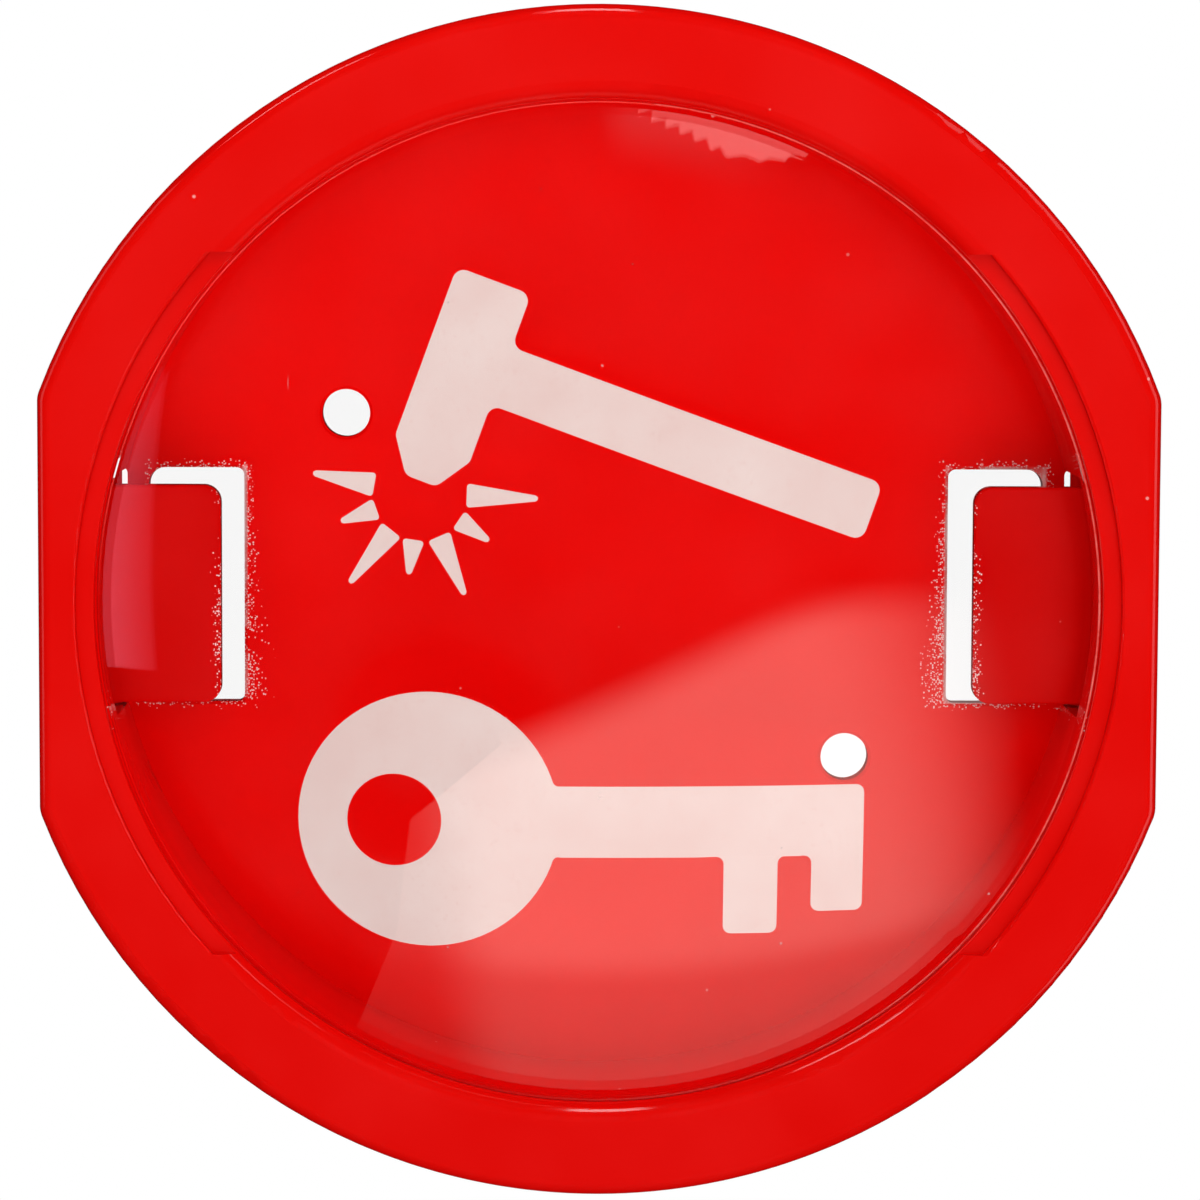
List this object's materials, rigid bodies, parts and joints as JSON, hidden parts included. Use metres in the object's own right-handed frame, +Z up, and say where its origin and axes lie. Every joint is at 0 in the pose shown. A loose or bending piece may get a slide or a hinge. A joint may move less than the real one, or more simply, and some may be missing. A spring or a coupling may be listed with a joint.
{
  "type": "break glass key box",
  "caption": "Round wall box for an emergency key, with a red press-on cover, a clear breakable dome and sprung side latches that free the cover.",
  "frame": {"origin": "centre of the back face, which lies on the wall, midway between the two screw holes", "axes": "+Z up as it hangs on the wall; the dome and the cover's front face -Y; +Y points into the wall; +X is to the right seen from the front"},
  "size_m": [0.1124, 0.0348, 0.12],
  "materials": {
    "housing_plastic": "red moulded plastic, smooth gloss",
    "cover_plastic": "red moulded plastic, smooth gloss",
    "clear_glass": "clear, thin and brittle, with a white print on its inner face",
    "gasket_rubber": "soft red silicone",
    "latch_plastic": "red moulded plastic, satin",
    "pin_steel": "ground steel",
    "spring_steel": "drawn spring wire"
  },
  "bodies": {
    "housing": {"rear_housing": "housing_plastic", "left_latch_pin": "pin_steel", "right_latch_pin": "pin_steel", "left_latch_spring": "spring_steel", "right_latch_spring": "spring_steel"},
    "cover": {"front_cover": "cover_plastic", "glass_lens": "clear_glass", "lens_gasket": "gasket_rubber"},
    "left_lever": {"left_latch": "latch_plastic"},
    "right_lever": {"right_latch": "latch_plastic"}
  },
  "joints": [
    {"name": "cover_pull", "type": "slide", "parent": "housing", "child": "cover", "axis": [0, -1, 0], "range_m": [0, 0.04]},
    {"name": "left_latch_press", "type": "hinge", "parent": "housing", "child": "left_lever", "pos_m": [-0.0516, -0.0042, 0], "axis": [0, 0, 1], "range_deg": [0, 12], "stiffness_Nm_per_rad": 0.03, "springref_deg": -8.59, "deforming": ["left_latch_spring"]},
    {"name": "right_latch_press", "type": "hinge", "parent": "housing", "child": "right_lever", "pos_m": [0.0516, -0.0042, 0], "axis": [0, 0, -1], "range_deg": [0, 12], "stiffness_Nm_per_rad": 0.03, "springref_deg": -8.59, "deforming": ["right_latch_spring"]}
  ]
}
